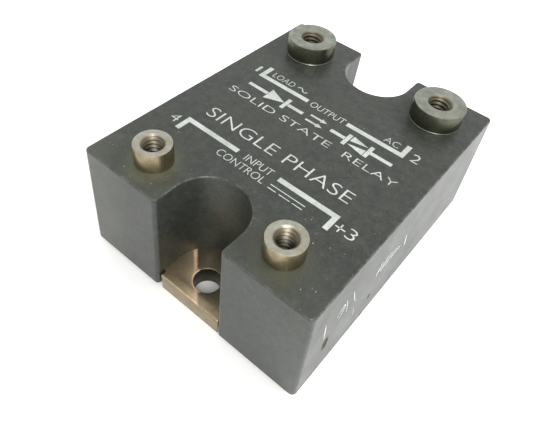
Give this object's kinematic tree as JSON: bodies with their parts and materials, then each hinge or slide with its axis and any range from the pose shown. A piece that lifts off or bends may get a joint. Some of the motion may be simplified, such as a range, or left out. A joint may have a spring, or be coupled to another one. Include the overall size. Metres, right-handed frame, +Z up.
{
  "type": "solid state relay",
  "caption": "Low rectangular panel-mount relay: dark moulded case on a metal base plate, a U-shaped screw recess at each end and tapped terminal posts at the corners.",
  "frame": {"origin": "middle of the base plate's underside, the face that rests on a panel", "axes": "+Z up out of the panel, +Y along the length towards the load terminals 1 and 2, +X across towards terminals 2 and 3"},
  "size_m": [0.0464, 0.0578, 0.0264],
  "materials": {
    "case_plastic": "satin moulded thermoplastic, charcoal, dusty",
    "plate_metal": "nickel-plated copper, plating tarnished to bronze and worn to copper by the hole",
    "plated_post": "turned brass with tarnished nickel plating",
    "copper": "bare copper strip and foil",
    "ceramic": "white alumina, as fired",
    "silicon": "lapped silicon chip",
    "board_laminate": "glass-epoxy board, green solder mask",
    "package_moulding": "black moulded epoxy",
    "resistor_lacquer": "tan lacquer",
    "diode_glass": "amber glass diode body",
    "capacitor_box": "red-brown moulded box",
    "tinned_wire": "tinned wire",
    "print_ink": "white pad-printing ink",
    "burr": "whitened scratch",
    "potting": "dark filled epoxy"
  },
  "bodies": {
    "root": {"base_plate": "plate_metal", "cathode_clip_1": "copper", "cathode_clip_2": "copper", "ceramic_substrate": "ceramic", "circuit_board": "board_laminate", "driver_transistor": "package_moulding", "gate_clip_1": "copper", "gate_clip_2": "copper", "gate_pad_1": "copper", "gate_pad_2": "copper", "gate_pin_1": "tinned_wire", "gate_pin_2": "tinned_wire", "gate_resistor_1": "resistor_lacquer", "gate_resistor_2": "resistor_lacquer", "housing_shell": "case_plastic", "input_lead_3": "copper", "input_lead_4": "copper", "input_post_3": "plated_post", "input_post_4": "plated_post", "input_resistor": "resistor_lacquer", "line_pin_1": "tinned_wire", "line_pin_2": "tinned_wire", "optocoupler": "package_moulding", "optocoupler_leads": "tinned_wire", "output_busbar_1": "copper", "output_busbar_2": "copper", "output_post_1": "plated_post", "output_post_2": "plated_post", "potting_compound": "potting", "power_pad_1": "copper", "power_pad_2": "copper", "protection_diode": "diode_glass", "rectifier_bridge": "package_moulding", "rectifier_bridge_leads": "tinned_wire", "snubber_capacitor": "capacitor_box", "snubber_resistor": "resistor_lacquer", "substrate_back_copper": "copper", "thyristor_chip_1": "silicon", "thyristor_chip_2": "silicon"}
  },
  "joints": []
}
